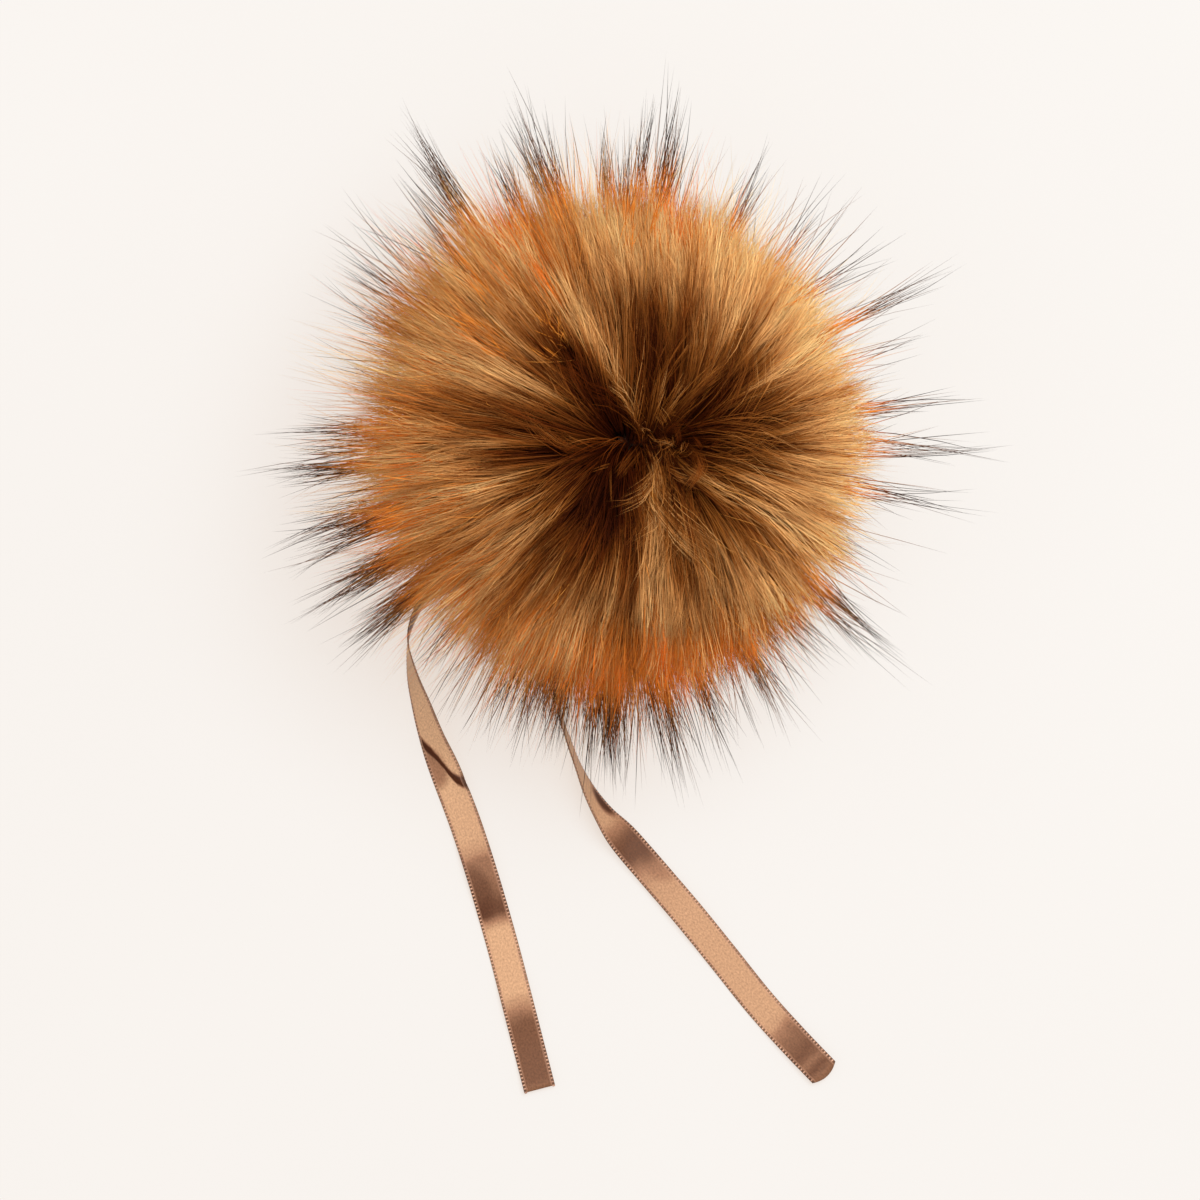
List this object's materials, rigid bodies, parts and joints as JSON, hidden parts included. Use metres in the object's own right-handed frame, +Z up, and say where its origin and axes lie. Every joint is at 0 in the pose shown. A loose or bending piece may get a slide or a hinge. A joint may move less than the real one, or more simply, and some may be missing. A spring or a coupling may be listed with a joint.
{
  "type": "faux fur pom pom on a ribbon tie",
  "caption": "Round long-pile faux-fur pom pom with dark-tipped guard hairs and two free satin ribbon tails from its gathered base, for tying to a hat, bag or key ring.",
  "frame": {"origin": "middle of the flat spot under the ball, where the gathered base rests", "axes": "+Z up out of the flat spot through the ball, +Y away from the two ribbon tails, +X to the right when the tails point at the viewer"},
  "size_m": [0.1537, 0.2179, 0.0794],
  "materials": {
    "long_pile_fur": "long soft acrylic pile, dark roots, golden tan, orange rim and black-tipped guard hairs",
    "satin_ribbon": "single-face satin with woven edges"
  },
  "bodies": {
    "root": {"fur_pompom": "long_pile_fur", "ribbon_tie_left": "satin_ribbon", "ribbon_tie_right": "satin_ribbon"}
  },
  "joints": []
}
